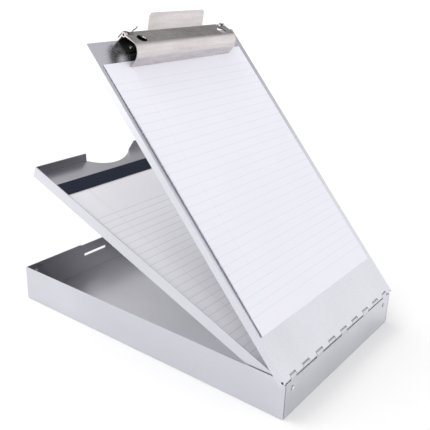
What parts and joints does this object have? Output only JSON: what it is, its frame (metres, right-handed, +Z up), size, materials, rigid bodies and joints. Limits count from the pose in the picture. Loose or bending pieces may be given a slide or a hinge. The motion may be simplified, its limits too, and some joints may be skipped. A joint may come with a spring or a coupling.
{
  "type": "clipboard with storage trays",
  "caption": "Aluminium form-holder clipboard with a lidded storage tray, a shallow middle tray for a pad and a wide spring clip, held open on one long hinge.",
  "frame": {"origin": "centre of the tray's flat underside", "axes": "+X along the hinge pin, +Y from the hinge to the open end, +Z up"},
  "size_m": [0.2252, 0.3468, 0.3237],
  "materials": {
    "aluminium_sheet": "satin anodised-look sheet with a fine rolled grain",
    "aluminium_rivet": "satin domed rivet heads",
    "brushed_stainless": "brushed stainless sheet, grain along the clip",
    "spring_steel": "dark bright-drawn wire and strip",
    "ruled_paper": "matt writing paper with faint ruling",
    "chipboard": "matt grey-brown pad backing",
    "binding_tape": "dark navy glued binding strip"
  },
  "bodies": {
    "tray": {"tray_pan": "aluminium_sheet", "tray_rivet_front_left": "aluminium_rivet", "tray_rivet_front_right": "aluminium_rivet", "tray_rivet_rear_left": "aluminium_rivet", "tray_rivet_rear_right": "aluminium_rivet", "hinge_pin": "spring_steel"},
    "middle": {"middle_tray": "aluminium_sheet", "pad_backing": "chipboard", "pad_pages": "ruled_paper", "pad_binding": "binding_tape"},
    "board": {"board_plate": "aluminium_sheet", "top_sheets": "ruled_paper", "latch_spring": "spring_steel", "latch_rivet_left": "aluminium_rivet", "latch_rivet_right": "aluminium_rivet", "clip_rivet_outer_left": "brushed_stainless", "clip_rivet_inner_left": "brushed_stainless", "clip_rivet_inner_right": "brushed_stainless", "clip_rivet_outer_right": "brushed_stainless", "clip_base": "brushed_stainless", "clip_rod": "spring_steel", "clip_spring_left": "spring_steel", "clip_spring_right": "spring_steel"},
    "jaw": {"clip_jaw": "brushed_stainless"}
  },
  "joints": [
    {"name": "middle_tray_hinge", "type": "hinge", "parent": "tray", "child": "middle", "pos_m": [0, -0.1701, 0.0382], "axis": [1, 0, 0], "range_deg": [-21.9, 38.1]},
    {"name": "board_hinge", "type": "hinge", "parent": "middle", "child": "board", "pos_m": [0, -0.1701, 0.0382], "axis": [1, 0, 0], "range_deg": [-26.54, 83.46]},
    {"name": "clip_jaw_hinge", "type": "hinge", "parent": "board", "child": "jaw", "pos_m": [0, 0.04522, 0.30496], "axis": [-1, 0, 0], "range_deg": [0, 38], "stiffness_Nm_per_rad": 0.9, "springref_deg": -34.38}
  ]
}
